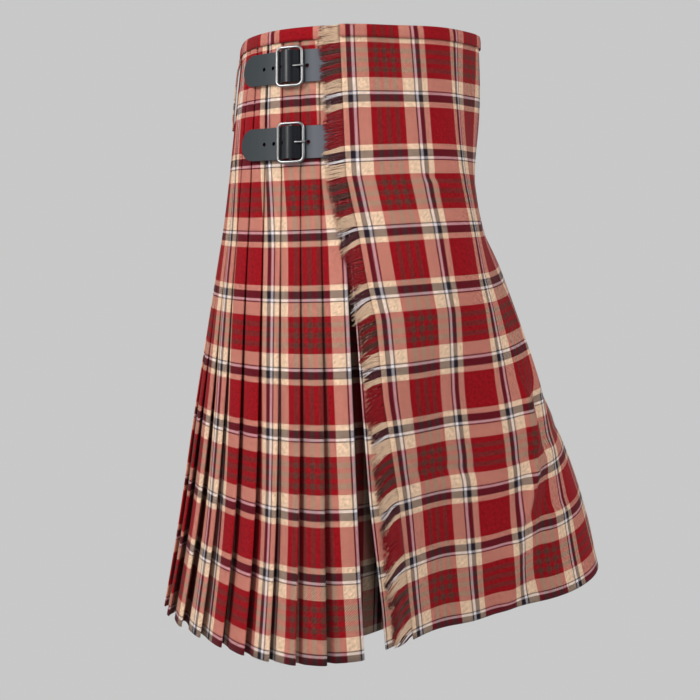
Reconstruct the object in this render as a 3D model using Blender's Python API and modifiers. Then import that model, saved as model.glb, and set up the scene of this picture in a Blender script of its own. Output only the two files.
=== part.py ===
"""Worn kilt: a hollow wrap of checked wool with knife pleats and an open front.

The cloth is shown as it is worn, with nobody inside it.
Lengths are in millimetres until they are handed to Blender, which gets metres.
Origin: centre of the waist, level with the top edge of the waistband.
+Z points up, the front apron faces -Y, the wearer's right hip is at -X.
Angles run round the waist: left hip 0, back 90, right hip 180, front 270.
"""

import math

import bmesh
import bpy
import numpy as np

# Lengths

CLOTH_DROP = 608.0
TOP_EDGE = 3.4
CLOTH_WALL = 1.4
PLEAT_WALL = 1.1
SEAM_GAP = 0.3

# Body of the cloth: the radius of the outer cloth in sixteen directions.
# One row for each height, by the length of cloth below the top edge.

SECTION_STEP = 22.5
SECTION_COLUMNS = (
    "left", "left_2", "back_left", "back_3", "back", "back_5", "back_right", "right_7",
    "right", "right_9", "front_right", "front_11", "front", "front_13", "front_left", "left_15",
)
SECTIONS = {
    0: (149, 145, 138, 130, 126, 123, 123, 134, 151, 155, 143, 142, 139, 142, 136, 146),
    100: (159, 155, 147, 140, 135, 134, 137, 149, 162, 165, 160, 155, 140, 138, 140, 156),
    200: (172, 167, 159, 150, 145, 145, 150, 162, 172, 178, 177, 172, 148, 134, 143, 170),
    250: (180, 174, 165, 156, 150, 153, 160, 170, 177, 184, 183, 178, 160, 152, 158, 179),
    300: (188, 181, 172, 162, 156, 161, 170, 177, 182, 189, 185, 180, 175, 167, 169, 188),
    400: (204, 196, 186, 175, 170, 179, 190, 189, 191, 196, 177, 174, 197, 194, 197, 208),
    500: (222, 211, 199, 187, 182, 195, 208, 202, 203, 204, 166, 165, 191, 222, 226, 228),
    608: (240, 228, 213, 200, 195, 214, 230, 221, 222, 208, 155, 150, 175, 238, 249, 250),
}

# Knife pleats: angle of each folded edge, counted back from the right hip,
# at the waist, at mid thigh and at the hem.

PLEAT_COLUMNS = ("waist", "thigh", "hem")
PLEAT_DROPS = (0.0, 360.0, 608.0)
PLEAT_EDGES = (
    (205.4, 205.4, 206.2),
    (198.3, 197.8, 197.6),
    (191.2, 190.7, 190.0),
    (184.0, 183.1, 182.4),
    (176.4, 175.4, 175.0),
    (168.6, 167.6, 166.2),
    (160.8, 159.8, 157.0),
    (153.0, 151.8, 148.2),
    (145.2, 143.8, 139.6),
)
PLEAT_COUNT = 30
PLEAT_START = -27.0
PLEAT_RINGS = (TOP_EDGE, 120.0, 222.0, 300.0, 380.0, 460.0, 535.0, CLOTH_DROP)

# Depth from a folded edge to the bottom of the fold behind it.

PLEAT_DEPTH = {0: 3.9, 222: 4.1, 300: 6.2, 400: 8.6, 500: 11.0, 608: 13.0}
PLEAT_LAYER = 1.7
PLEAT_TURN_BACK = 0.52

# Front edge of the over apron, with the fringe and the facing behind it:
# angle of the fold, of the fringe tips and of the facing, by cloth drop.

APRON_COLUMNS = ("fold", "tips", "facing", "rise")
APRON_EDGE = {
    0: (206.2, 199.2, 206.9, 5.8),
    75: (206.6, 199.8, 206.9, 5.8),
    150: (207.0, 200.8, 206.9, 5.8),
    203: (210.0, 203.6, 207.0, 3.4),
    256: (212.1, 206.0, 207.6, 3.0),
    290: (214.0, 207.9, 208.2, 2.8),
    367: (215.1, 209.3, 209.0, 2.6),
    466: (218.6, 212.0, 210.2, 2.6),
    567: (221.2, 214.5, 212.6, 2.6),
    608: (222.7, 216.0, 213.2, 2.6),
}
APRON_LEFT = {0: 338.0, 300: 338.5, 608: 340.0}
APRON_RINGS = (
    TOP_EDGE, 38.0, 75.0, 112.0, 150.0, 203.0, 256.0, 290.0,
    330.0, 367.0, 416.0, 466.0, 516.0, 567.0, CLOTH_DROP,
)
APRON_SHARES = (0.0, 0.018, 0.042, 0.075, 0.115)
APRON_LIFT = 1.6
UNDER_LEFT = 320.0
UNDER_DEPTH = 7.0
UNDER_HEM = 592.0
FACING_DEPTH = 1.15

# Waistband: unwrapped angle, and what it grips there, front and back.

BAND_BOTTOM = 14.0
BAND_INSIDE = 12.0
BAND_WALL = 1.2
BAND_GAP = 0.8
BAND_STOPS = {"under": (319.0, 214.0), "joined": (205.5, 194.0), "pleats": (187.0, -14.0)}
BAND_OVER = (-17.0, -34.0, -37.0, -153.8)

# Fringe down the apron's edge

FRINGE_TOP = 16.5
FRINGE_END = 598.0
FRINGE_LOCKS = 68
FRINGE_WALL = 1.0
FRINGE_GAP = 0.75
FRINGE_BACKING = (1.0, 5.0)

# Belt loops at the back

LOOP_WIDTH = 22.0
LOOP_WALL = 1.8
LOOP_ANGLES = {"belt_loop_right": 128.0, "belt_loop_left": 52.0}
LOOP_PROFILE = (
    (15.4, 1.5), (22.0, 1.9), (27.0, 7.4), (40.0, 9.8), (54.0, 10.4),
    (68.0, 9.8), (81.0, 7.4), (86.0, 2.0), (93.0, 1.9),
)

# Leather straps, buckles and the tabs that hold the buckles

STRAP_WIDTH = 32.0
STRAP_WALL = 2.2
STRAP_PLACES = {"upper": (188.4, 39.5), "lower": (188.8, 115.0)}
STRAP_PROFILE = (
    (54.0, 1.9), (45.0, 1.9), (37.0, 1.9), (29.0, 1.9), (21.0, 1.9), (15.5, 1.9), (11.0, 1.9),
    (8.0, 4.4), (4.5, 8.2), (0.0, 9.8), (-4.5, 8.7), (-8.0, 5.6), (-11.0, 3.2), (-15.5, 3.2),
    (-24.0, 3.2), (-34.0, 3.4), (-44.0, 4.1), (-52.0, 5.0), (-58.5, 5.9), (-62.3, 6.5),
    (-63.9, 6.8), (-64.5, 6.9),
)
STRAP_HOLES = (-31.6, -19.3, -7.0, 17.6)
STRAP_HOLE_RADIUS = 2.0
FRAME_LENGTH = 29.0
FRAME_HEIGHT = 41.0
FRAME_WIRE = 1.55
FRAME_CORNER = 5.0
FRAME_RISE = 5.5
FRAME_TILT = 0.055
BAR_RADIUS = 1.3
BAR_HEIGHT = 4.6
PRONG_RADIUS = 0.9
PRONG_LOOP = 2.5
TAB_WIDTH = 26.0
TAB_WALL = 1.4
TAB_LOOP = 2.3
TAB_END = -32.0

# Colours

CLOTH_RED = (0.30, 0.018, 0.030, 1.0)
CLOTH_DARK = (0.16, 0.012, 0.022, 1.0)
FRINGE_RED = (0.33, 0.05, 0.05, 1.0)
LEATHER = (0.030, 0.032, 0.036, 1.0)
STEEL = (0.62, 0.61, 0.60, 1.0)

MM = 0.001


def clear_scene():
    for item in list(bpy.data.objects):
        bpy.data.objects.remove(item, do_unlink=True)


def make_collection(name):
    group = bpy.data.collections.new(name)
    bpy.context.scene.collection.children.link(group)
    return group


def make_material(name, colour, roughness, metallic):
    material = bpy.data.materials.new(name)
    material.use_nodes = True
    shader = material.node_tree.nodes["Principled BSDF"]
    shader.inputs["Base Color"].default_value = colour
    shader.inputs["Roughness"].default_value = roughness
    shader.inputs["Metallic"].default_value = metallic
    material.diffuse_color = colour
    return material


def bends(gaps, slopes, closed):
    """Second derivatives of a cubic spline, from the gaps and the slopes between its knots."""
    count = len(gaps) if closed else len(gaps) + 1
    matrix = np.eye(count)
    right = np.zeros((count,) + slopes.shape[1:])
    first = 0 if closed else 1
    last = count if closed else count - 1
    for i in range(first, last):
        before = gaps[i - 1]
        after = gaps[i]
        matrix[i, i] = 2.0 * (before + after)
        matrix[i, (i - 1) % count] = before
        matrix[i, (i + 1) % count] = after
        right[i] = 6.0 * (slopes[i] - slopes[i - 1])
    return np.linalg.solve(matrix, right)


def spline(knots, values, at, closed=False):
    """Smooth curve through the values, a row for each knot, read at many places."""
    knots = np.asarray(knots, float)
    values = np.asarray(values, float)
    if closed:
        values = np.concatenate([values, values[:1]])
    gaps = np.diff(knots)
    shape = (-1,) + (1,) * (values.ndim - 1)
    slopes = np.diff(values, axis=0) / gaps.reshape(shape)
    second = bends(gaps, slopes, closed)
    if closed:
        second = np.concatenate([second, second[:1]])
    place = np.clip(np.searchsorted(knots, at, side="right") - 1, 0, len(gaps) - 1)
    gap = gaps[place].reshape(shape)
    left = (knots[place + 1] - at).reshape(shape)
    right = (at - knots[place]).reshape(shape)
    cubic = (second[place] * left ** 3 + second[place + 1] * right ** 3) / (6.0 * gap)
    start = (values[place] / gap - second[place] * gap / 6.0) * left
    end = (values[place + 1] / gap - second[place + 1] * gap / 6.0) * right
    return cubic + start + end


def table(rows, at, column=None):
    """Straight reading between the rows of a short table keyed by cloth drop."""
    keys = np.array(sorted(rows), float)
    if column is None:
        values = [rows[key] for key in sorted(rows)]
    else:
        values = [rows[key][column] for key in sorted(rows)]
    return np.interp(at, keys, np.array(values, float))


GRID_TURN = np.arange(0.0, 360.0, 1.5)
GRID_DROP = np.arange(0.0, CLOTH_DROP + 1.0, 4.0)


def body_of_cloth():
    """Points and outward directions of the outer cloth on a fine grid.

    The radius is smooth round the body and down it. Every strand of cloth
    keeps its length, so where the cloth flares it also climbs.
    """
    drops = sorted(SECTIONS)
    rows = np.array([SECTIONS[drop] for drop in drops], float)
    round_body = spline(np.arange(17) * SECTION_STEP, rows.T, GRID_TURN, closed=True)
    radius = spline(drops, round_body.T, GRID_DROP)
    step = GRID_DROP[1] - GRID_DROP[0]
    fall = np.sqrt(np.maximum(step ** 2 - np.diff(radius, axis=0) ** 2, 4.0))
    height = -np.vstack([np.zeros(len(GRID_TURN)), np.cumsum(fall, axis=0)])
    turn = np.radians(GRID_TURN)
    points = np.stack([radius * np.cos(turn), radius * np.sin(turn), height], axis=-1)
    along = np.roll(points, -1, axis=1) - np.roll(points, 1, axis=1)
    down = np.gradient(points, axis=0)
    outward = np.cross(down, along)
    outward /= np.linalg.norm(outward, axis=-1, keepdims=True)
    return points, outward


BODY_POINTS, BODY_OUTWARD = body_of_cloth()


def skin(turn, drop, rise):
    """Point at an angle and a cloth drop, lifted off the body of the cloth by the rise."""
    turn, drop, rise = np.broadcast_arrays(
        np.asarray(turn, float), np.asarray(drop, float), np.asarray(rise, float)
    )
    column = (turn % 360.0) / 1.5
    row = np.clip(drop / 4.0, 0.0, len(GRID_DROP) - 1.001)
    column_0 = np.floor(column).astype(int)
    row_0 = np.floor(row).astype(int)
    part_c = (column - column_0)[..., None]
    part_r = (row - row_0)[..., None]
    column_0 = column_0 % len(GRID_TURN)
    column_1 = (column_0 + 1) % len(GRID_TURN)
    result = []
    for field in (BODY_POINTS, BODY_OUTWARD):
        upper = field[row_0, column_0] * (1 - part_c) + field[row_0, column_1] * part_c
        lower = field[row_0 + 1, column_0] * (1 - part_c) + field[row_0 + 1, column_1] * part_c
        result.append(upper * (1 - part_r) + lower * part_r)
    return result[0] + result[1] * rise[..., None]


def round_length(turn, drop):
    """Millimetres of cloth in one degree round the body at a place."""
    ahead = skin(turn + 1.0, drop, 0.0)
    behind = skin(turn - 1.0, drop, 0.0)
    return np.linalg.norm(ahead - behind, axis=-1) / 2.0


def add_object(name, mesh, material, group):
    mesh.materials.append(material)
    item = bpy.data.objects.new(name, mesh)
    group.objects.link(item)
    return item


def sheet(name, points, wall, material, group):
    """Cloth or leather from a grid of points on its middle layer, given its wall."""
    rows, columns = points.shape[:2]
    corner = np.arange(rows * columns).reshape(rows, columns)
    faces = np.stack(
        [corner[:-1, :-1], corner[1:, :-1], corner[1:, 1:], corner[:-1, 1:]], axis=-1
    ).reshape(-1, 4)
    mesh = bpy.data.meshes.new(name)
    mesh.from_pydata((points.reshape(-1, 3) * MM).tolist(), [], faces.tolist())
    mesh.shade_smooth()
    item = add_object(name, mesh, material, group)
    solidify = item.modifiers.new("wall", "SOLIDIFY")
    solidify.thickness = wall * MM
    solidify.offset = 0.0
    return item


def rod(name, points, radius, closed, material, group):
    """Round wire along a path of points."""
    curve = bpy.data.curves.new(name, "CURVE")
    curve.dimensions = "3D"
    curve.bevel_depth = radius * MM
    curve.bevel_resolution = 2
    curve.use_fill_caps = not closed
    line = curve.splines.new("POLY")
    line.points.add(len(points) - 1)
    for knot, place in zip(line.points, points):
        knot.co = (place[0] * MM, place[1] * MM, place[2] * MM, 1.0)
    line.use_cyclic_u = closed
    draft = bpy.data.objects.new(name + "_draft", curve)
    group.objects.link(draft)
    bpy.context.view_layer.update()
    graph = bpy.context.evaluated_depsgraph_get()
    mesh = bpy.data.meshes.new_from_object(draft.evaluated_get(graph))
    mesh.name = name
    bpy.data.objects.remove(draft, do_unlink=True)
    bpy.data.curves.remove(curve)
    work = bmesh.new()
    work.from_mesh(mesh)
    bmesh.ops.remove_doubles(work, verts=work.verts, dist=0.00001)
    bmesh.ops.recalc_face_normals(work, faces=work.faces)
    work.to_mesh(mesh)
    work.free()
    mesh.materials.clear()
    mesh.shade_smooth()
    mesh.set_sharp_from_angle(angle=math.radians(50.0))
    return add_object(name, mesh, material, group)


def boolean(item, cutter, operation):
    step = item.modifiers.new(operation.lower(), "BOOLEAN")
    step.operation = operation
    step.solver = "EXACT"
    step.object = cutter
    cutter.hide_render = True
    cutter.display_type = "WIRE"


def pleat_edges(drop):
    """Angles of all folded edges at one cloth drop, from the left hip to the right."""
    named = [np.interp(drop, PLEAT_DROPS, row) for row in PLEAT_EDGES]
    rest = PLEAT_COUNT - len(named) + 1
    spread = np.linspace(PLEAT_START, named[-1], rest + 1)[:-1]
    return np.array(list(spread) + named[::-1])


def pleat_outline(drop):
    """Angle and rise of the pleated cloth's middle layer, right round at one drop.

    Each pleat starts under the pleat behind it, climbs to its folded edge,
    turns back beneath itself and turns again into the next pleat.
    """
    edges = pleat_edges(drop)
    depth = table(PLEAT_DEPTH, drop)
    face = -PLEAT_WALL / 2.0
    turns = []
    rises = []
    for left, right in zip(edges[:-1], edges[1:]):
        scale = float(round_length((left + right) / 2.0, drop))
        pitch = (right - left) * scale
        back = pitch * PLEAT_TURN_BACK
        bottom = face - depth
        under = face - PLEAT_LAYER
        shape = (
            (1.5 - back, bottom),
            (0.12 * pitch, bottom + 0.06 * depth),
            (0.46 * pitch, face - 0.45 - 0.5 * (depth - PLEAT_DEPTH[0])),
            (pitch - 2.2, face),
            (pitch + 0.4, face - 0.5 * PLEAT_LAYER),
            (pitch - 2.2, under - 0.1),
            (pitch - back + 1.5, bottom + PLEAT_LAYER),
            (pitch - back - 0.7, bottom + 0.5 * PLEAT_LAYER),
        )
        turns.extend(left + along / scale for along, rise in shape)
        rises.extend(rise for along, rise in shape)
    return np.array(turns), np.array(rises)


def pleated_skirt(material, group):
    rows = []
    for drop in PLEAT_RINGS:
        turns, rises = pleat_outline(drop)
        rows.append(skin(turns, drop, rises))
    return sheet("pleated_skirt", np.array(rows), PLEAT_WALL, material, group)


def apron_rise(turn, drop):
    """Rise of the over apron's middle layer: proud at both edges, flush between them."""
    fold = table(APRON_EDGE, drop, 0)
    proud = table(APRON_EDGE, drop, 3)
    left = table(APRON_LEFT, drop)
    flush = -CLOTH_WALL / 2.0
    near_fold = np.clip((turn - fold) / 26.0, 0.0, 1.0)
    near_left = np.clip((left - turn) / 26.0, 0.0, 1.0)
    ease_fold = near_fold ** 2 * (3.0 - 2.0 * near_fold)
    ease_left = np.clip((near_left - 0.4) / 0.6, 0.0, 1.0)
    ease_left = ease_left ** 2 * (3.0 - 2.0 * ease_left)
    return proud + (flush - proud) * ease_fold + (APRON_LIFT - flush) * (1.0 - ease_left)


def over_apron(material, group):
    drops = np.array(APRON_RINGS)[:, None]
    even = np.linspace(APRON_SHARES[-1], 1.0, 25)[1:]
    share = np.concatenate([APRON_SHARES, even])[None, :]
    fold = table(APRON_EDGE, drops, 0)
    left = table(APRON_LEFT, drops)
    turns = fold + (left - fold) * share
    points = skin(turns, drops, apron_rise(turns, drops))
    return sheet("over_apron", points, CLOTH_WALL, material, group)


def apron_facing(material, group):
    drops = np.linspace(TOP_EDGE + BAND_BOTTOM, CLOTH_DROP - 2.0, 15)[:, None]
    share = np.linspace(0.0, 1.0, 4)[None, :]
    start = table(APRON_EDGE, drops, 2)
    end = table(APRON_EDGE, drops, 0) + 4.0
    turns = start + (end - start) * share
    points = skin(turns, drops, -FACING_DEPTH)
    return sheet("apron_facing", points, CLOTH_WALL, material, group)


def under_rise(turn, drop):
    """Depth of the under apron: behind the deepest pleat at the right, then level."""
    depth = table(PLEAT_DEPTH, drop)
    level = -UNDER_DEPTH
    behind = -(depth + PLEAT_WALL + CLOTH_WALL / 2.0 + SEAM_GAP + 0.9)
    ease = np.clip((turn - 208.0) / 22.0, 0.0, 1.0)
    ease = ease ** 2 * (3.0 - 2.0 * ease)
    return np.minimum(behind, level) + (level - np.minimum(behind, level)) * ease


def under_apron(material, group):
    drops = np.linspace(TOP_EDGE, UNDER_HEM, 12)[:, None]
    share = np.linspace(0.0, 1.0, 19)[None, :]
    turns = 197.0 + (UNDER_LEFT - 197.0) * share + 0.0 * drops
    points = skin(turns, drops, under_rise(turns, drops))
    return sheet("under_apron", points, CLOTH_WALL, material, group)


def band_legs():
    """Angles along the waistband with the rise of its outer and inner legs.

    The band grips the under apron alone, then the under apron with the pleats,
    the pleats alone, the pleats with the over apron and the over apron alone.
    """
    reach = CLOTH_WALL / 2.0 + BAND_GAP + BAND_WALL / 2.0
    pleat_out = BAND_GAP + BAND_WALL / 2.0
    pleat_in = -(PLEAT_DEPTH[0] + PLEAT_WALL + BAND_GAP + BAND_WALL / 2.0)
    under_out = reach - UNDER_DEPTH
    under_in = -reach - UNDER_DEPTH
    path = [(turn, under_out, under_in) for turn in BAND_STOPS["under"]]
    path += [(turn, pleat_out, under_in) for turn in BAND_STOPS["joined"]]
    path += [(turn, pleat_out, pleat_in) for turn in BAND_STOPS["pleats"]]
    cover = APRON_LIFT + reach
    path += [(BAND_OVER[0], cover, pleat_in), (BAND_OVER[1], cover, pleat_in)]
    path += [(BAND_OVER[2], cover, APRON_LIFT - reach)]
    stops = [path[0][0]]
    for start, end in zip([p[0] for p in path[:-1]], [p[0] for p in path[1:]]):
        pieces = max(1, int(round((start - end) / 7.0)))
        stops.extend(start + (end - start) * (k + 1) / pieces for k in range(pieces))
    over = np.linspace(BAND_OVER[2], BAND_OVER[3], 20)[1:]
    rise = apron_rise(over + 360.0, TOP_EDGE)
    path = np.array(path)
    stops = np.array(stops)
    outer = np.interp(-stops, -path[:, 0], path[:, 1])
    inner = np.interp(-stops, -path[:, 0], path[:, 2])
    return (
        np.concatenate([stops, over]),
        np.concatenate([outer, rise + reach]),
        np.concatenate([inner, rise - reach]),
    )


def waistband(material, group):
    """Folded strip over the top edge, one length from the under apron to the over apron."""
    stops, outer, inner = band_legs()
    middle = (outer + inner) / 2.0
    profile = (
        (BAND_BOTTOM, outer),
        (2.4, outer),
        (0.7, middle),
        (2.4, inner),
        (BAND_INSIDE, inner),
    )
    points = np.array([skin(stops, drop, rise) for drop, rise in profile])
    points[2, :, 2] = -0.7
    return sheet("waistband", points, BAND_WALL, material, group)


def apron_fringe(material, group):
    """Comb of brushed locks: a narrow backing under the fold with a lock on each step.

    A lock is as wide as its step at the root and narrows to its tip,
    which lies further down and towards the back.
    """
    pitch = (FRINGE_END - FRINGE_TOP) / FRINGE_LOCKS
    random = np.random.default_rng(11)
    points = []
    faces = []
    previous = None
    for index in range(FRINGE_LOCKS):
        top = FRINGE_TOP + index * pitch
        low = top + pitch * 0.84
        centre = (top + low) / 2.0
        fold = table(APRON_EDGE, centre, 0)
        scale = float(round_length(fold, centre))
        reach = (fold - table(APRON_EDGE, centre, 1)) * scale * random.uniform(0.86, 1.0)
        drop_off = min(random.uniform(5.0, 9.0), CLOTH_DROP - 2.5 - low)
        sunk = CLOTH_WALL / 2.0 + FRINGE_GAP + FRINGE_WALL / 2.0
        lift = random.uniform(0.0, 0.5)
        outline = (
            (FRINGE_BACKING[1], top, low, 0.0),
            (FRINGE_BACKING[0], top, low, 0.0),
            (-0.45 * reach, top + 0.35 * drop_off + 0.6, low + 0.35 * drop_off - 0.8, 0.2 + lift),
            (-reach, centre + drop_off - 0.9, centre + drop_off + 0.9, lift),
        )
        start = len(points)
        for along, upper, lower, extra in outline:
            for drop in (upper, lower):
                edge = table(APRON_EDGE, drop, 0)
                rise = table(APRON_EDGE, drop, 3) - sunk + extra
                points.append(skin(edge + along / scale, drop, rise))
        for step in range(3):
            a = start + 2 * step
            faces.append((a, a + 1, a + 3, a + 2))
        if previous is not None:
            faces.append((previous + 1, start, start + 2, previous + 3))
        previous = start
    mesh = bpy.data.meshes.new("apron_fringe")
    mesh.from_pydata((np.array(points) * MM).tolist(), [], faces)
    item = add_object("apron_fringe", mesh, material, group)
    solidify = item.modifiers.new("wall", "SOLIDIFY")
    solidify.thickness = FRINGE_WALL * MM
    solidify.offset = 0.0
    return item


def belt_loop(name, turn, material, group):
    profile = np.array(LOOP_PROFILE)
    across = np.array([-0.5, 0.0, 0.5]) * LOOP_WIDTH
    scale = float(round_length(turn, 54.0))
    turns = turn + across[None, :] / scale
    points = skin(turns, profile[:, :1], profile[:, 1:])
    return sheet(name, points, LOOP_WALL, material, group)


def at_buckle(place, along, down, rise):
    """Point near a buckle: along the strap towards the front, down, and off the cloth."""
    turn, drop = place
    scale = float(round_length(turn, drop))
    return skin(turn + np.asarray(along, float) / scale, drop + np.asarray(down, float), rise)


def strap(name, place, material, group, cutters):
    profile = np.array(STRAP_PROFILE)
    along = profile[:, 0]
    tip = along[-1]
    half = STRAP_WIDTH / 2.0
    round_end = np.clip((along - tip) / half, 0.0, 1.0)
    widths = half * np.sqrt(np.maximum(1.0 - (1.0 - round_end) ** 2, 0.03))
    across = np.array([-1.0, -0.45, 0.45, 1.0])
    down = widths[:, None] * across[None, :]
    points = at_buckle(place, along[:, None], down, profile[:, 1:])
    item = sheet(name, points, STRAP_WALL, material, group)
    for number, hole in enumerate(STRAP_HOLES):
        rise = float(np.interp(-hole, -along, profile[:, 1]))
        slope_in = float(np.interp(-(hole - 1.0), -along, profile[:, 1]))
        slope_out = float(np.interp(-(hole + 1.0), -along, profile[:, 1]))
        lean = (slope_out - slope_in) / 2.0
        low = at_buckle(place, hole + 4.0 * lean, 0.0, rise - 4.0)
        high = at_buckle(place, hole - 4.0 * lean, 0.0, rise + 4.0)
        label = "hole_%s_%d" % (name, number)
        cutter = rod(label, [low, high], STRAP_HOLE_RADIUS, False, material, cutters)
        boolean(item, cutter, "DIFFERENCE")
    return item


def rounded_frame():
    """Corner points of the buckle's outline, along and down, round the frame."""
    points = []
    for quarter in range(4):
        side_a = 1.0 if quarter in (0, 3) else -1.0
        side_d = 1.0 if quarter in (0, 1) else -1.0
        centre_a = side_a * (FRAME_LENGTH / 2.0 - FRAME_WIRE - FRAME_CORNER)
        centre_d = side_d * (FRAME_HEIGHT / 2.0 - FRAME_WIRE - FRAME_CORNER)
        for step in range(5):
            angle = math.radians(90.0 * quarter + 22.5 * step)
            points.append((
                centre_a + FRAME_CORNER * math.cos(angle),
                centre_d + FRAME_CORNER * math.sin(angle),
            ))
    return np.array(points)


def buckle_frame(name, place, material, group, cutters):
    outline = rounded_frame()
    rise = FRAME_RISE - FRAME_TILT * outline[:, 0]
    points = at_buckle(place, outline[:, 0], outline[:, 1], rise)
    item = rod(name, points, FRAME_WIRE, True, material, group)
    reach = FRAME_HEIGHT / 2.0 - FRAME_WIRE
    ends = at_buckle(place, [0.0, 0.0, 0.0], [-reach, 0.0, reach], BAR_HEIGHT)
    bar = rod(name + "_bar", ends, BAR_RADIUS, False, material, cutters)
    boolean(item, bar, "UNION")
    return item


def prong_path():
    """Path of the prong, along and off the cloth: round the bar, then over the front bar."""
    path = []
    for angle in range(-70, -281, -30):
        turn = math.radians(angle)
        path.append((
            PRONG_LOOP * math.cos(turn),
            BAR_HEIGHT + PRONG_LOOP * math.sin(turn),
        ))
    front = FRAME_LENGTH / 2.0 - FRAME_WIRE
    rest = FRAME_RISE - FRAME_TILT * front + FRAME_WIRE + SEAM_GAP + PRONG_RADIUS
    path.append((4.0, BAR_HEIGHT + PRONG_LOOP + 0.3))
    path.append((front - 4.0, rest))
    path.append((front + 2.6, rest))
    return np.array(path)


def prong(name, place, material, group):
    path = prong_path()
    points = at_buckle(place, path[:, 0], 0.0, path[:, 1])
    return rod(name, points, PRONG_RADIUS, False, material, group)


def prong_slot(strap_item, name, place, material, cutters):
    front = FRAME_LENGTH / 2.0
    points = at_buckle(place, [1.2, front - 2.0], 0.0, [BAR_HEIGHT + 2.75, BAR_HEIGHT + 2.9])
    cutter = rod("slot_" + name, points, PRONG_RADIUS + 0.7, False, material, cutters)
    boolean(strap_item, cutter, "DIFFERENCE")


def buckle_tab(name, place, material, group, cutters):
    """Leather tab lying on the cloth behind the buckle and hooked round its bar."""
    flat = TAB_WALL / 2.0 + SEAM_GAP
    path = [(TAB_END, flat), (-18.0, flat), (-6.0, flat + 0.1), (-2.6, BAR_HEIGHT - TAB_LOOP - 0.4)]
    for angle in (-75, -40, 0, 40, 80, 115):
        turn = math.radians(angle)
        path.append((TAB_LOOP * math.cos(turn), BAR_HEIGHT + TAB_LOOP * math.sin(turn)))
    path = np.array(path)
    down = np.array([-0.5, -0.17, 0.17, 0.5]) * TAB_WIDTH
    points = at_buckle(place, path[:, :1], down[None, :], path[:, 1:])
    item = sheet(name, points, TAB_WALL, material, group)
    ends = at_buckle(place, [-5.4, 7.0], 0.0, [BAR_HEIGHT, BAR_HEIGHT])
    cutter = rod("slot_" + name, ends, PRONG_LOOP + PRONG_RADIUS + 0.6, False, material, cutters)
    boolean(item, cutter, "DIFFERENCE")
    return item


def main():
    clear_scene()
    group = make_collection("kilt")
    cutters = make_collection("kilt_cutters")
    wool = make_material("wool_check", CLOTH_RED, 0.9, 0.0)
    wool_under = make_material("wool_check_under", CLOTH_DARK, 0.92, 0.0)
    yarn = make_material("brushed_yarn", FRINGE_RED, 0.95, 0.0)
    leather = make_material("black_leather", LEATHER, 0.5, 0.0)
    steel = make_material("nickel_steel", STEEL, 0.28, 1.0)

    pleated_skirt(wool, group)
    over_apron(wool, group)
    apron_facing(wool, group)
    under_apron(wool_under, group)
    waistband(wool, group)
    apron_fringe(yarn, group)
    for name, turn in LOOP_ANGLES.items():
        belt_loop(name, turn, wool, group)
    for level, place in STRAP_PLACES.items():
        band = strap("strap_" + level, place, leather, group, cutters)
        prong_slot(band, "strap_" + level, place, leather, cutters)
        buckle_frame("buckle_frame_" + level, place, steel, group, cutters)
        prong("buckle_prong_" + level, place, steel, group)
        buckle_tab("buckle_tab_" + level, place, leather, group, cutters)


main()
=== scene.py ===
"""Worn kilt: checked wool in knife pleats, a flat front apron, leather straps and buckles.

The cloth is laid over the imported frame. Lengths are in millimetres until a
mesh is made. Angles run round the waist: left hip 0, back 90, right hip 180,
front 270. A drop is a length of cloth below the top edge of the waist.
"""

import math

import bpy
import numpy as np
from mathutils import Matrix, Vector


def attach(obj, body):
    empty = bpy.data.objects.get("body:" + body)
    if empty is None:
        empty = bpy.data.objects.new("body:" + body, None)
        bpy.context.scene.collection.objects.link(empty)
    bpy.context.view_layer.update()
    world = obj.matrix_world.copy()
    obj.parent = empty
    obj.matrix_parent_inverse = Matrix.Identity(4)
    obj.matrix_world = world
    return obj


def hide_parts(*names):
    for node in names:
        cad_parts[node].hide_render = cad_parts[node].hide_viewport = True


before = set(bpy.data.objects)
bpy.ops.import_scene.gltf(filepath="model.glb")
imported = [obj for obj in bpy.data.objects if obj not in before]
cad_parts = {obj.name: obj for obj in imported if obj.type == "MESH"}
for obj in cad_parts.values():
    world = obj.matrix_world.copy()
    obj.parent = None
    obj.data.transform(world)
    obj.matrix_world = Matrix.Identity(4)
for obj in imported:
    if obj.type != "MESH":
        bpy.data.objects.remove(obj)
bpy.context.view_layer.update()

MM = 0.001
ANY_PHASE = 6.283

# Sizes of the cloth

CLOTH_DROP = 608.0
TOP_EDGE = 2.6
CLOTH_WALL = 1.1
PLEAT_WALL = 0.9

# Outer cloth: radius in sixteen directions from the left hip, a row for each drop

SECTION_STEP = 22.5
SECTIONS = {
    0: (149, 145, 138, 130, 126, 121, 120, 133, 151, 155, 143, 142, 139, 142, 136, 146),
    100: (159, 155, 147, 140, 135, 132, 134.5, 148, 162, 165, 160, 155, 140, 138, 140, 156),
    200: (172, 167, 159, 150, 145, 145, 150, 162, 172, 178, 177, 172, 148, 134, 143, 170),
    250: (180, 174, 165, 156, 150, 153, 160, 170, 177, 184, 183, 178, 160, 152, 158, 179),
    300: (188, 181, 172, 162, 156, 161, 170, 177, 182, 189, 185, 180, 175, 167, 169, 188),
    400: (204, 196, 186, 175, 170, 179, 190, 189, 191, 196, 177, 174, 197, 194, 197, 208),
    500: (222, 211, 199, 187, 182, 195, 208, 202, 203, 204, 166, 165, 191, 222, 226, 228),
    608: (240, 228, 213, 200, 195, 214, 230, 221, 222, 208, 155, 150, 176, 241, 253, 252),
}

# Creases of the over apron: angle and drop of the start and of the end, half
# width in mm, height in mm (a trough is below nought). First the puckers beside
# the fringe, then those across, the folds at the right of the photo, the rest

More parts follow.
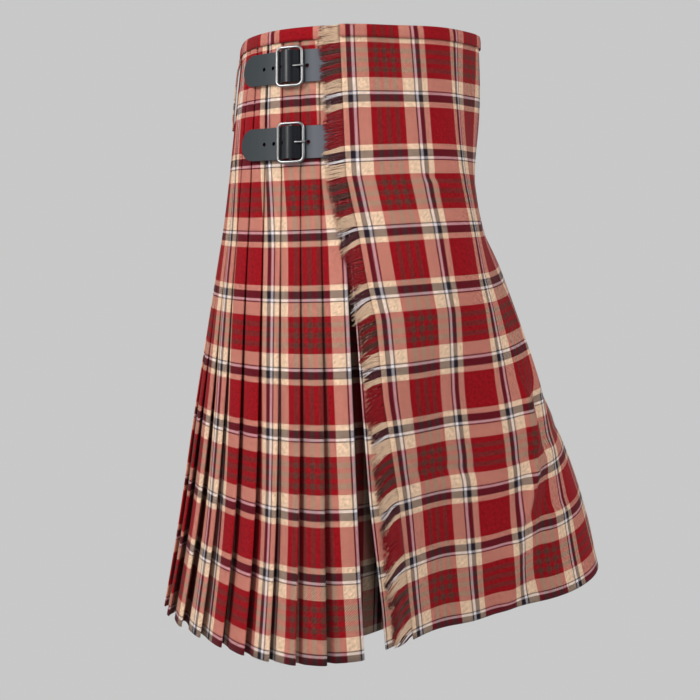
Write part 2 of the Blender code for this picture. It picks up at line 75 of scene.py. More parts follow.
APRON_CREASES = (
    (208.5, 64.0, 214.0, 76.0, 3.2, 1.0),
    (208.5, 92.0, 215.0, 106.0, 3.2, -1.1),
    (209.0, 124.0, 216.0, 114.0, 3.4, 0.9),
    (232.0, 154.0, 248.0, 156.0, 3.4, -2.6),
    (229.0, 163.0, 252.0, 168.0, 5.0, 1.3),
    (218.0, 437.0, 252.0, 450.0, 5.5, -2.2),
    (221.0, 455.0, 256.0, 466.0, 8.0, 0.9),
    (272.0, 232.0, 281.0, 430.0, 8.0, 2.2),
    (266.0, 368.0, 271.0, 452.0, 7.0, 6.5),
    (271.5, 452.0, 266.5, 520.0, 8.0, 7.0),
    (266.5, 520.0, 265.0, 606.0, 12.0, 4.5),
    (273.0, 372.0, 279.0, 462.0, 8.0, -5.5),
    (278.0, 462.0, 273.0, 606.0, 11.0, -4.0),
    (238.0, 470.0, 240.0, 604.0, 16.0, -2.0),
    (222.0, 300.0, 232.0, 420.0, 14.0, 1.2),
    (296.0, 150.0, 318.0, 163.0, 8.0, -1.2),
    (286.0, 440.0, 318.0, 452.0, 9.0, -1.5),
    (300.0, 380.0, 306.0, 606.0, 17.0, 3.5),
    (320.0, 330.0, 322.0, 606.0, 15.0, -3.0),
)

PLEAT_DROPS = (0.0, 360.0, 608.0)
PLEAT_EDGES = (
    (205.4, 206.2, 207.1, 35.3),
    (198.3, 197.8, 197.6, 11.5),
    (191.2, 190.7, 190.0, -6.0),
    (184.0, 183.1, 182.4, -26.2),
    (176.4, 175.4, 175.0, -48.5),
    (168.6, 167.6, 166.2, -66.5),
    (160.8, 159.8, 157.0, -85.0),
    (153.0, 151.8, 148.2, -106.0),
    (145.2, 143.8, 139.6, -127.0),
)
PLEAT_COUNT = 30
PLEAT_START = -27.0
PLEAT_SHOWS = 21.0
PLEATS_SEWN = 215.0
PLEATS_OPENING = 300.0
PLEAT_DEPTH = {0: 3.9, 222: 4.1, 300: 6.2, 400: 8.6, 500: 11.0, 608: 13.0}
PLEAT_LAYER = 1.7
PLEAT_TURN_BACK = 0.52
PLEAT_SWAY = 95.0
PLEAT_CORNERS = 8
PLEAT_ROUNDING = 3
WAIST_SHIFT = 9.5

# Front edge of the over apron by drop: fold, fringe tips, facing, rise

APRON_EDGE = {
    0: (206.2, 199.2, 206.9, 5.8),
    75: (206.6, 199.8, 206.9, 5.8),
    150: (207.0, 200.8, 206.9, 5.8),
    203: (210.0, 203.6, 207.0, 3.4),
    256: (212.1, 206.0, 207.6, 3.0),
    290: (214.0, 207.9, 208.2, 2.8),
    367: (215.1, 209.3, 209.0, 2.6),
    466: (218.6, 212.0, 210.2, 2.6),
    567: (221.2, 214.5, 212.6, 2.6),
    608: (222.7, 216.0, 213.2, 2.6),
}
APRON_LEFT = {0: 338.0, 300: 338.5, 608: 340.0}
APRON_LIFT = 1.6
APRON_FLUSH = -0.7
APRON_EASE = 26.0
FACING_TOP = TOP_EDGE + 16.0
FACING_RISE = -1.15
FACING_PAST_FOLD = 4.0
UNDER_RIGHT = 197.0
UNDER_LEFT = 320.0
UNDER_DEPTH = 7.0
UNDER_BEHIND = 3.0
UNDER_HEM = 592.0

# Waistband and what it grips, as unwrapped angles. The bulge of its outer leg is
# given by drop. Its check slips over the pleats, which take up the slip. The
# reach is half the cloth that it grips, with some room

BAND_BOTTOM = 14.0
BAND_INSIDE = 12.0
BAND_WALL = 1.1
BAND_GAP = 0.8
BAND_STOPS = {"under": (319.0, 214.0), "joined": (205.5, 194.0), "pleats": (187.0, -14.0)}
BAND_OVER = (-17.0, -34.0, -37.0, -153.8)
BAND_BULGE = ((BAND_BOTTOM, 0.0), (11.0, 0.15), (6.0, 0.25), (3.2, 0.0))
BAND_SLIP = 45.2
BAND_SLIP_FROM = 460.0
BAND_SLIP_OVER = 320.0
CLOTH_REACH = 0.7

# Fringe

FRINGE_THREADS = 2400
FRINGE_SIDES = 3
FRINGE_STEPS = 5
FRINGE_RADIUS = 0.46

# Belt loops: the profile is drop and height off the cloth

LOOP_WIDTH = 22.0
LOOP_WALL = 1.6
LOOP_MIDDLE = 54.0
LOOP_LOWEST = 1.25
LOOP_FLATNESS = 0.16
LOOP_ANGLES = {"right": 132.2, "left": 47.8}
LOOP_PROFILE = (
    (15.4, 1.5), (22.0, 1.9), (27.0, 7.4), (40.0, 9.8), (54.0, 10.4),
    (68.0, 9.8), (81.0, 7.4), (86.0, 2.0), (93.0, 1.9),
)

# Straps: angle and drop of each buckle's bar, and the profile as the place
# along the strap from that bar and the height off the cloth

STRAP_WIDTH = 32.0
STRAP_WALL = 2.2
STRAP_PLACES = {"upper": (188.4, 39.5), "lower": (188.8, 115.0)}
STRAP_PROFILE = (
    (54.0, 1.9), (11.0, 1.9), (8.0, 4.4), (4.5, 8.2), (0.0, 9.8), (-4.5, 8.7), (-8.0, 5.6),
    (-11.0, 3.2), (-24.0, 3.2), (-34.0, 3.4), (-44.0, 4.1), (-52.0, 5.0), (-58.5, 5.9),
    (-62.3, 6.5), (-63.9, 6.8), (-64.5, 6.9),
)
STRAP_TIP = -64.5
STRAP_ROOT = 54.0
STRAP_BEND = 14.0
STRAP_HOLES = (-31.6, -19.3, -7.0, 17.6)
STRAP_HOLE_RADIUS = 2.0
PUNCH_SIDES = 24

# Buckle frames, bars, prongs and tabs

FRAME_LENGTH = 29.0
FRAME_HEIGHT = 41.0
FRAME_WIRE = 1.55
FRAME_CORNER = 5.0
FRAME_RISE = 5.5
FRAME_TILT = 0.055
OUTLINE_STEP = 4.0
BAR_RADIUS = 1.3
BAR_HEIGHT = 4.6
PRONG_RADIUS = 0.9
PRONG_LOOP = 2.5
TAB_WIDTH = 26.0
TAB_WALL = 1.4
TAB_LOOP = 2.3
TAB_END = -32.0

# Check: stripe edges from the middle of the lined red stripe to the middle of
# the plain red stripe, in mm, for threads down the cloth and across it. A start
# is the place in the check at an edge of its piece

RED = (0.258, 0.0030, 0.0072, 1.0)
CREAM = (0.700, 0.490, 0.335, 1.0)
BLACK = (0.0125, 0.0070, 0.0130, 1.0)
WHITE = (0.720, 0.665, 0.670, 1.0)
GREEN = (0.094, 0.028, 0.020, 1.0)
MAROON = (0.070, 0.012, 0.016, 1.0)
DOWN_STRIPES = (
    (0.0, GREEN), (2.4, RED), (7.0, GREEN), (12.0, RED), (18.0, CREAM), (30.6, BLACK),
    (32.3, WHITE), (35.2, BLACK), (40.2, CREAM), (46.8, RED),
)
ACROSS_STRIPES = (
    (0.0, GREEN), (2.4, RED), (7.0, GREEN), (12.0, RED), (17.8, CREAM), (30.6, BLACK),
    (32.0, WHITE), (34.6, BLACK), (42.0, CREAM), (47.4, RED),
)
DOWN_HALF = 65.75
ACROSS_HALF = 66.25
ACROSS_START = 36.75
BAND_START = 105.0
APRON_START = 45.5
FACING_START = 33.6
UNDER_START = 20.0
THREAD = 0.6
TWILL_THREADS = 4.0
SCREEN_POWER = 2.2

# Leather, steel, room and camera

HIDE = (0.018, 0.025, 0.029, 1.0)
# Painted sheen: the paler hide ahead of the buckle, where light glances off the strap.
HIDE_PAINTED_SHEEN = (0.085, 0.090, 0.108, 1.0)
# The black at the bend is partly polish and partly painted shade, where the strap dips under the frame's
# bars.
HIDE_BENT = (0.004, 0.005, 0.008, 1.0)
NICKEL = (0.25, 0.245, 0.245, 1.0)
PALE_GREY = (0.578, 0.578, 0.578, 1.0)
ROOM_GREY = (0.36, 0.36, 0.37, 1.0)
FLOOR_LEVEL = -0.80
FLOOR_HALF = 6.0
CAMERA_PLACE = (-1.1258, -0.65, -0.1721)
CAMERA_HEADING = 30.0
CAMERA_ROLL = 0.0428
CAMERA_LENS = 60.2
CAMERA_SHIFT = (-0.0097, -0.215)


def bends(gaps, slopes, closed):
    """Second derivatives of a cubic spline from its gaps and slopes."""
    count = len(gaps) if closed else len(gaps) + 1
    matrix = np.eye(count)
    right = np.zeros((count,) + slopes.shape[1:])
    first = 0 if closed else 1
    last = count if closed else count - 1
    for i in range(first, last):
        matrix[i, i] = 2.0 * (gaps[i - 1] + gaps[i])
        matrix[i, (i - 1) % count] = gaps[i - 1]
        matrix[i, (i + 1) % count] = gaps[i]
        right[i] = 6.0 * (slopes[i] - slopes[i - 1])
    return np.linalg.solve(matrix, right)


def spline(knots, values, at, closed=False):
    """Cubic spline through the values, a row for each knot, read at many places."""
    knots = np.asarray(knots, float)
    values = np.asarray(values, float)
    if closed:
        values = np.concatenate([values, values[:1]])
    gaps = np.diff(knots)
    shape = (-1,) + (1,) * (values.ndim - 1)
    slopes = np.diff(values, axis=0) / gaps.reshape(shape)
    second = bends(gaps, slopes, closed)
    if closed:
        second = np.concatenate([second, second[:1]])
    place = np.clip(np.searchsorted(knots, at, side="right") - 1, 0, len(gaps) - 1)
    gap = gaps[place].reshape(shape)
    left = (knots[place + 1] - at).reshape(shape)
    right = (at - knots[place]).reshape(shape)
    cubic = (second[place] * left ** 3 + second[place + 1] * right ** 3) / (6.0 * gap)
    start = (values[place] / gap - second[place] * gap / 6.0) * left
    end = (values[place + 1] / gap - second[place + 1] * gap / 6.0) * right
    return cubic + start + end


def unit(vectors):
    """Vectors at length one."""
    return vectors / np.linalg.norm(vectors, axis=-1, keepdims=True)


def table(rows, at, column=None):
    """Straight reading between the rows of a short table keyed by drop."""
    keys = np.array(sorted(rows), float)
    values = [rows[key] if column is None else rows[key][column] for key in sorted(rows)]
    return np.interp(at, keys, np.array(values, float))


def smooth(x):
    """Soft step from nought to one."""
    x = np.clip(x, 0.0, 1.0)
    return x * x * (3.0 - 2.0 * x)


TURN_STEP = 0.5
DROP_STEP = 2.0
GRID_TURN = np.arange(0.0, 360.0, TURN_STEP)
GRID_DROP = np.arange(0.0, CLOTH_DROP + 1.0, DROP_STEP)


def body_of_cloth():
    """Points and outward directions of the outer cloth on a fine grid.

    The radius is a spline round the body and down it, and the height falls by
    the square root of the step squared less the change of radius squared, so
    that every strand keeps its length.
    """
    drops = sorted(SECTIONS)
    rows = np.array([SECTIONS[drop] for drop in drops], float)
    round_body = spline(np.arange(0.0, 361.0, SECTION_STEP), rows.T, GRID_TURN, closed=True)
    radius = spline(drops, round_body.T, GRID_DROP)
    fall = np.sqrt(np.maximum(DROP_STEP ** 2 - np.diff(radius, axis=0) ** 2, 1.0))
    height = -np.vstack([np.zeros(len(GRID_TURN)), np.cumsum(fall, axis=0)])
    turn = np.radians(GRID_TURN)
    points = np.stack([radius * np.cos(turn), radius * np.sin(turn), height], axis=-1)
    along = np.roll(points, -1, axis=1) - np.roll(points, 1, axis=1)
    down = np.gradient(points, axis=0)
    return points, unit(np.cross(down, along))


BODY_POINTS, BODY_OUTWARD = body_of_cloth()


def skin(turn, drop, rise):
    """Point at an angle and drop, moved off the outer cloth along its outward direction."""
    turn, drop, rise = np.broadcast_arrays(
        np.asarray(turn, float), np.asarray(drop, float), np.asarray(rise, float)
    )
    column = (turn % 360.0) / TURN_STEP
    row = np.clip(drop / DROP_STEP, 0.0, len(GRID_DROP) - 1.001)
    column_0 = np.floor(column).astype(int)
    row_0 = np.floor(row).astype(int)
    part_c = (column - column_0)[..., None]
    part_r = (row - row_0)[..., None]
    column_0 = column_0 % len(GRID_TURN)
    column_1 = (column_0 + 1) % len(GRID_TURN)
    result = []
    for field in (BODY_POINTS, BODY_OUTWARD):
        upper = field[row_0, column_0] * (1 - part_c) + field[row_0, column_1] * part_c
        lower = field[row_0 + 1, column_0] * (1 - part_c) + field[row_0 + 1, column_1] * part_c
        result.append(upper * (1 - part_r) + lower * part_r)
    return result[0] + result[1] * rise[..., None]


def round_length(turn, drop):
    """Millimetres of cloth in one degree round the body."""
    ahead = skin(turn + 1.0, drop, 0.0)
    behind = skin(turn - 1.0, drop, 0.0)
    return np.linalg.norm(ahead - behind, axis=-1) / 2.0


def creases(turn, drop, rows):
    """Sum of soft troughs and ridges: a bell across each line, fading over its ends.

    The bell is the height times e to minus the square of the distance from
    the line over the half width.
    """
    rise = np.zeros(np.broadcast(turn, drop).shape)
    for turn_0, drop_0, turn_1, drop_1, half, height in rows:
        scale = float(round_length((turn_0 + turn_1) / 2.0, (drop_0 + drop_1) / 2.0))
        ax = (turn - turn_0) * scale
        ay = drop - drop_0
        bx = (turn_1 - turn_0) * scale
        by = drop_1 - drop_0
        length = math.hypot(bx, by)
        along = (ax * bx + ay * by) / length
        across = (ax * by - ay * bx) / length
        begin = smooth((along + half) / (0.4 * length))
        end = smooth((length + half - along) / (0.3 * length))
        rise += height * np.exp(-((across / half) ** 2)) * begin * end
    return rise


def ripple(turn, drop, seed, size, amount):
    """Faint unevenness of hanging cloth: a few sine waves of uneven length and direction."""
    random = np.random.default_rng(seed)
    value = np.zeros(np.broadcast(turn, drop).shape)
    for _ in range(7):
        kx = random.normal(0.0, 1.0) / size
        ky = random.normal(0.0, 0.7) / size
        value += np.sin(kx * turn * 3.0 + ky * drop + random.uniform(0.0, ANY_PHASE))
    return amount * value / 2.6


def placed(name, data):
    """New object in the scene."""
    item = bpy.data.objects.new(name, data)
    bpy.context.scene.collection.objects.link(item)
    return item


def finish_mesh(mesh, material, nodes, wall=0.0, sharp=None):
    """Object at the origin that rides on the frame and stands for its solids."""
    mesh.materials.append(material)
    item = placed(mesh.name, mesh)
    mesh.shade_smooth()
    if sharp is not None:
        mesh.set_sharp_from_angle(angle=math.radians(sharp))
    if wall:
        thick = item.modifiers.new("wall", "SOLIDIFY")
        thick.thickness = wall * MM
        thick.offset = 0.0
    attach(item, "root")
    if nodes:
        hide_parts(*nodes)
    return item


def face_corners(left, right):
    """Values at the four corners of each face, for the faces left and right of a point."""
    return np.stack([right[:-1, :-1], right[1:, :-1], left[1:, 1:], left[:-1, 1:]], axis=-1)


def sheet_mesh(name, points, u_left, u_right, v):
    """Grid of faces through the points, with the cloth's own map in metres.

    The map runs along the cloth in u and down it in v. A point may have one u
    for the face on its left and another for the face on its right, as at the
    bottom of a pleat, where hidden cloth is left out.
    """
    shape = points.shape[:2]
    corner = np.arange(shape[0] * shape[1]).reshape(shape)
    quads = face_corners(corner, corner)
    mesh = bpy.data.meshes.new(name)
    mesh.from_pydata((points.reshape(-1, 3) * MM).tolist(), [], quads.reshape(-1, 4).tolist())
    u_left, u_right, v = (np.broadcast_to(part, shape) for part in (u_left, u_right, v))
    uv = np.stack([face_corners(u_left, u_right), face_corners(v, v)], axis=-1) * MM
    mesh.uv_layers.new(name="cloth").data.foreach_set("uv", uv.ravel().astype(np.float32))
    mesh.validate()
    return mesh


def cloth_piece(name, points, u, v, material, node, wall=CLOTH_WALL):
    """Piece of checked cloth through a grid of points, standing for one solid."""
    mesh = sheet_mesh(name, points, u, u, v)
    return finish_mesh(mesh, material, [node], wall)


def hung_cloth(name, turns, drops, rise, start, material, node):
    """Cloth laid on the body at a rise, its map counted from a start: the piece, its width."""
    points = skin(turns, drops, rise)
    length = path_length(points)
    item = cloth_piece(name, points, length - start, drops, material, node)
    return item, length[:, -1].mean()


def path_length(points):
    """Length of cloth from the first column to each column, row by row."""
    steps = np.linalg.norm(np.diff(points, axis=1), axis=-1)
    return np.concatenate([np.zeros((len(points), 1)), np.cumsum(steps, axis=1)], axis=1)


def even_turns(start, end, columns):
    """Angles in even steps from a start to an end."""
    return start + (end - start) * np.linspace(0.0, 1.0, columns)[None, :]


def rounder(points, parts):
    """Curve through the columns of points with a few more between each pair.

    Each step is the centripetal curve through four neighbours, whose knots
    grow by the square root of the distance, so it never loops.
    """
    before = 2 * points[:, :1] - points[:, 1:2]
    after = 2 * points[:, -1:] - points[:, -2:-1]
    ends = np.concatenate([before, points, after], axis=1)
    p0, p1, p2, p3 = ends[:, :-3], ends[:, 1:-2], ends[:, 2:-1], ends[:, 3:]
    d1, d2, d3 = (
        np.sqrt(np.linalg.norm(end - start, axis=-1, keepdims=True)) + 1e-6
        for start, end in ((p0, p1), (p1, p2), (p2, p3))
    )
    m1 = d2 * ((p1 - p0) / d1 - (p2 - p0) / (d1 + d2) + (p2 - p1) / d2)
    m2 = d2 * ((p2 - p1) / d2 - (p3 - p1) / (d2 + d3) + (p3 - p2) / d3)
    result = []
    for k in range(parts):
        t = k / parts
        a = 2 * t ** 3 - 3 * t ** 2 + 1
        b = t ** 3 - 2 * t ** 2 + t
        c = -2 * t ** 3 + 3 * t ** 2
        d = t ** 3 - t ** 2
        result.append(a * p1 + b * m1 + c * p2 + d * m2)
    mixed = np.stack(result, axis=2)
    rows, columns = points.shape[:2]
    mixed = mixed.reshape(rows, (columns - 1) * parts, 3)
    return np.concatenate([mixed, points[:, -1:]], axis=1)


def pleat_edges(drop):
    """Angles of all folded edges at one drop, from the left hip to the right."""
    named = [np.interp(drop, PLEAT_DROPS, row[:3]) for row in PLEAT_EDGES]
    rest = PLEAT_COUNT - len(named) + 1
    spread = np.linspace(PLEAT_START, named[-1], rest + 1)[:-1]
    return np.array(list(spread) + named[::-1])


def pleat_places():
    named = [row[3] for row in PLEAT_EDGES][::-1]
    rest = PLEAT_COUNT - len(named) + 1
    return np.array([named[0] - PLEAT_SHOWS * (rest - k) for k in range(rest)] + named)


def pleat_section(drop, lean):
    """Corners of all pleats at one drop: angles, rises, and how much painted shade each one gets.

    A pleat climbs to its folded edge, turns back under it and turns again.
    Below the sewn hip it opens: its edge leans and sways, its depth varies,
    and the cloth before the edge bows inwards.
    """
    free = smooth((drop - PLEATS_SEWN) / PLEATS_OPENING)
    sway = 0.12 * np.sin(drop / PLEAT_SWAY + 6.0 * lean[1])
    edges = pleat_edges(drop) + free * (0.16 * lean[0] + sway)
    depth = float(table(PLEAT_DEPTH, drop))
    face = -PLEAT_WALL / 2.0
    under = face - PLEAT_LAYER
    turns = []
    rises = []
    for k, (left, right) in enumerate(zip(edges[:-1], edges[1:])):
        scale = float(round_length((left + right) / 2.0, drop))
        pitch = (right - left) * scale
        back = pitch * PLEAT_TURN_BACK
        bottom = face - depth * (1.0 + free * 0.10 * np.clip(lean[2, k], -1.0, 1.0))
        lift = free * 0.5 * lean[3, k]
        shape = (
            (1.5 - back, bottom),
            (0.04 * pitch, bottom + (0.35 - 0.05 * free) * depth),
            ((0.20 + 0.08 * free) * pitch, face - 0.3 - free * (0.2 + 0.34 * depth)),
            (pitch - 2.2, face + 0.3 * lift),
            (pitch + 0.4, face - 0.5 * PLEAT_LAYER + 0.4 * lift),
            (pitch - 2.2, under - 0.1),
            (pitch - back + 1.5, bottom + PLEAT_LAYER),
            (pitch - back - 0.7, bottom + 0.5 * PLEAT_LAYER),
        )
        turns.extend(left + along / scale for along, rise in shape)
        rises.extend(rise for along, rise in shape)
    rises = np.array(rises)
    # Painted shade: a share from nought to one of how deep the cloth lies in its open fold.
    sunk = np.clip((-rises / depth - 0.66) / 0.30, 0.0, 1.0)
    return np.array(turns), rises, (0.12 + 0.88 * free) * sunk


def pleated_cloth(material):
    """Pleated length: eight corners a pleat, rounded to twenty four points.

    The map starts anew at the bottom of each pleat, so that the right place in
    the check lies on each folded edge. The attribute painted_fold_shade is one at the
    bottom of an open fold, where little light comes.
    """
    random = np.random.default_rng(5)
    lean = random.normal(0.0, 1.0, (4, PLEAT_COUNT + 1))
    drops = np.concatenate([[TOP_EDGE, 14.0], np.arange(26.0, 602.0, 10.2), [CLOTH_DROP]])
    rows = []
    sunk = []
    for drop in drops:
        turns, rises, dark = pleat_section(drop, lean)
        rows.append(skin(turns, drop, rises))
        sunk.append(dark)
    points = rounder(np.array(rows), PLEAT_ROUNDING)
    length = path_length(points)
    shift = WAIST_SHIFT * (1.0 - smooth((drops - 70.0) / 160.0))[:, None]
    u_left = np.zeros(length.shape)
    u_right = np.zeros(length.shape)
    each = PLEAT_CORNERS * PLEAT_ROUNDING
    for k, place in enumerate(pleat_places()[1:]):
        first = each * k
        last = min(first + each, points.shape[1] - 1)
        apex = first + each // 2
        u = place + shift + length[:, first:last + 1] - length[:, apex:apex + 1]
        u_right[:, first:last] = u[:, :-1]
        u_left[:, first + 1:last + 1] = u[:, 1:]
    u_left[:, 0] = u_right[:, 0]
    u_right[:, -1] = u_left[:, -1]
    mesh = sheet_mesh("pleated_cloth", points, u_left, u_right, drops[:, None])
    column = np.arange(points.shape[1]) / PLEAT_ROUNDING
    between = np.array([np.interp(column, np.arange(len(row)), row) for row in sunk])
    # Painted shade: the wool is darkened where this attribute is high, at the bottom of open folds.
    painted_fold_shade = mesh.attributes.new("painted_fold_shade", "FLOAT", "POINT")
    painted_fold_shade.data.foreach_set("value", between.ravel().astype(np.float32))
    item = finish_mesh(mesh, material, ["pleated_skirt"], PLEAT_WALL)
    return item, length[:, -1].mean()


def apron_rise(turn, drop):
    """Rise of the over apron: proud at both edges, flush between them."""
    fold = table(APRON_EDGE, drop, 0)
    proud = table(APRON_EDGE, drop, 3)
    left = table(APRON_LEFT, drop)
    ease_fold = smooth((turn - fold) / APRON_EASE)
    ease_left = smooth((np.clip((left - turn) / APRON_EASE, 0.0, 1.0) - 0.4) / 0.6)
    at_left = (APRON_LIFT - APRON_FLUSH) * (1.0 - ease_left)
    return proud + (APRON_FLUSH - proud) * ease_fold + at_left


def front_apron_cloth(material):
    """Over apron: even grid from the folded front edge round to the left hip.

    The height off the body is the apron's rise plus its creases and ripple.
    """
    drops = np.concatenate([[TOP_EDGE], np.arange(6.0, 606.0, 3.4), [CLOTH_DROP]])[:, None]
    fold = table(APRON_EDGE, drops, 0)
    turns = even_turns(fold, table(APRON_LEFT, drops), 130)
    free = smooth((turns - fold) / 6.0) * smooth((drops - 12.0) / 60.0)
    rise = apron_rise(turns, drops) + creases(turns, drops, APRON_CREASES) * free
    rise += ripple(turns, drops, 3, 42.0, 0.35) * free
    return hung_cloth("front_apron_cloth", turns, drops, rise, APRON_START, material, "over_apron")


def apron_facing_cloth(material):
    """Facing: the strip of the apron turned in behind the front edge, an even grid."""
    drops = np.linspace(FACING_TOP, CLOTH_DROP - 2.0, 120)[:, None]
    end = table(APRON_EDGE, drops, 0) + FACING_PAST_FOLD
    turns = even_turns(table(APRON_EDGE, drops, 2), end, 12)
    name = "apron_facing"
    return hung_cloth(name + "_cloth", turns, drops, FACING_RISE, FACING_START, material, name)


def under_rise(turn, drop):
    """Depth of the under apron: behind the deepest pleat at the right, then level."""
    deepest = np.minimum(-(table(PLEAT_DEPTH, drop) + UNDER_BEHIND), -UNDER_DEPTH)
    return deepest + (-UNDER_DEPTH - deepest) * smooth((turn - 208.0) / 22.0)


def under_apron_cloth(material):
    """Under apron: even grid behind the pleats and the over apron, with a ripple."""
    drops = np.concatenate([[TOP_EDGE], np.arange(12.0, 586.0, 7.0), [UNDER_HEM]])[:, None]
    turns = even_turns(UNDER_RIGHT, UNDER_LEFT, 70)
    rise = under_rise(turns, drops) + ripple(turns, drops, 8, 40.0, 0.25)
    return hung_cloth("under_apron_cloth", turns, drops, rise, UNDER_START, material, "under_apron")


def band_legs():
    """Angles along the waistband with the rise of its outer and inner legs."""
    pleat_out = BAND_GAP + BAND_WALL / 2.0
    pleat_in = -(PLEAT_DEPTH[0] + CLOTH_WALL + pleat_out)
    reach = CLOTH_REACH + pleat_out
    under_out = reach - UNDER_DEPTH
    under_in = -reach - UNDER_DEPTH
    path = [(turn, under_out, under_in) for turn in BAND_STOPS["under"]]
    path += [(turn, pleat_out, under_in) for turn in BAND_STOPS["joined"]]
    path += [(turn, pleat_out, pleat_in) for turn in BAND_STOPS["pleats"]]
    cover = APRON_LIFT + reach
    path += [(BAND_OVER[0], cover, pleat_in), (BAND_OVER[1], cover, pleat_in)]
    path += [(BAND_OVER[2], cover, APRON_LIFT - reach)]
    path = np.array(path)
    stops = np.linspace(BAND_STOPS["under"][0], BAND_OVER[2], 240)
    over = np.linspace(BAND_OVER[2], BAND_OVER[3], 90)[1:]
    rise = apron_rise(over + 360.0, TOP_EDGE)
    outer = np.interp(-stops, -path[:, 0], path[:, 1])
    inner = np.interp(-stops, -path[:, 0], path[:, 2])
    return (
        np.concatenate([stops, over]),
        np.concatenate([outer, rise + reach]),
        np.concatenate([inner, rise - reach]),
    )


def waistband_cloth(material):
    """Waistband: a strip folded over the top edge, one length from end to end.

    Its outer leg bulges a little, the fold over the edge is a half ellipse
    between the two legs, and the inner leg is straight.
    """
    stops, outer, inner = band_legs()
    rows = [skin(stops, drop, outer + bulge) for drop, bulge in BAND_BULGE]
    for angle in (60.0, 30.0, 0.0, -30.0, -60.0):
        turn = math.radians(angle)
        row = skin(stops, 2.0, (outer + inner) / 2.0 + (outer - inner) / 2.0 * math.sin(turn))
        row[:, 2] = 1.2 * math.cos(turn) - 1.9
        rows.append(row)
    rows += [skin(stops, drop, inner) for drop in (3.2, BAND_INSIDE)]
    points = np.array(rows)
    lengths = path_length(points)
    length = lengths[0]
    down = path_length(points.transpose(1, 0, 2))
    slip = BAND_SLIP * (1.0 - smooth((length - BAND_SLIP_FROM) / BAND_SLIP_OVER))
    u = length[-1] - length - APRON_START + slip
    item = cloth_piece(
        "waistband_cloth", points, u, BAND_START - down.T, material, "waistband", BAND_WALL
    )
    return item, lengths[:, -1].mean(), down[:, -1].mean()


def fringe_lines():
    """Middle lines of the fringe's threads, with the drop of each root and the way out.

    A thread runs back from the fold along the cloth, falls by its droop times
    the length to the power 1.4, and wavers by two sines. Threads of one clump
    lean alike and are cut nearly level. Above the hip they droop less.
    """
    random = np.random.default_rng(21)
    count = FRINGE_THREADS
    root = np.sort(random.uniform(1.5, 603.0, count))
    clump = np.cumsum(random.uniform(0.0, 1.0, count) > 0.975)
    droop = random.uniform(0.25, 0.75, clump.max() + 1)[clump] + random.normal(0.0, 0.09, count)
    droop = droop * (0.35 + 0.65 * smooth((root - 140.0) / 120.0))
    level = random.uniform(0.86, 1.06, clump.max() + 1)[clump] * random.uniform(0.78, 1.04, count)
    lift = random.uniform(0.0, 1.0, count)[:, None]
    fold = table(APRON_EDGE, root, 0)
    scale = round_length(fold, root)
    reach = (fold - table(APRON_EDGE, root, 1)) * scale * level
    reach = reach * (1.16 - 0.12 * smooth((root - 150.0) / 80.0))
    share = np.linspace(0.0, 1.0, FRINGE_STEPS)[None, :]
    along = reach[:, None] * share
    drop = root[:, None] + (droop * reach)[:, None] * share ** 1.4
    wave = random.uniform(0.0, ANY_PHASE, (count, 1))
    drop = drop + 0.5 * np.sin(wave + 5.0 * share) * share
    drop = np.minimum(drop, CLOTH_DROP - 0.6 * random.uniform(0.0, 1.0, (count, 1)))
    turn = fold[:, None] + (1.2 - along) / scale[:, None]
    proud = table(APRON_EDGE, root, 3)[:, None]
    rise = proud - 0.9 - 1.9 * smooth(share * 2.0) + lift * (0.5 + 1.3 * share)
    rise = np.maximum(rise + 0.35 * np.sin(wave * 2.0 + 7.0 * share), 0.75)
    line = skin(turn, drop, rise)
    return line, skin(turn, drop, rise + 1.0) - line, root, along


def fringe_threads(material):
    """Brushed fringe: each thread a thin bar of three sides that tapers by the square."""
    line, outward, root, along = fringe_lines()
    ahead = unit(np.gradient(line, axis=1))
    side = unit(np.cross(ahead, outward))
    normal = np.cross(side, ahead)
    taper = 1.0 - 0.55 * np.linspace(0.0, 1.0, FRINGE_STEPS)[None, :, None] ** 2
    angles = np.arange(FRINGE_SIDES) * 2.0 * math.pi / FRINGE_SIDES
    rings = [
        line + FRINGE_RADIUS * taper * (math.cos(angle) * side + math.sin(angle) * normal)
        for angle in angles
    ]
    points = np.stack(rings, axis=2).reshape(-1, 3)
    index = np.arange(len(points)).reshape(-1, FRINGE_STEPS, FRINGE_SIDES)
    onward = np.roll(index, -1, axis=2)
    quads = np.stack([index[:, :-1], onward[:, :-1], onward[:, 1:], index[:, 1:]], axis=-1)
    caps = np.concatenate([index[:, 0, ::-1], index[:, -1, :]])
    mesh = bpy.data.meshes.new("fringe_threads")
    mesh.from_pydata((points * MM).tolist(), [], quads.reshape(-1, 4).tolist() + caps.tolist())
    at_root = np.repeat(np.maximum(root, 7.0), FRINGE_STEPS * FRINGE_SIDES)
    at_along = np.repeat(along.reshape(-1), FRINGE_SIDES)
    corners = np.zeros(len(mesh.loops), np.int32)
    mesh.loops.foreach_get("vertex_index", corners)
    uv = np.stack([at_along[corners], at_root[corners]], axis=-1) * MM
    mesh.uv_layers.new(name="cloth").data.foreach_set("uv", uv.ravel().astype(np.float32))
    mesh.validate()
    return finish_mesh(mesh, material, ["apron_fringe"])


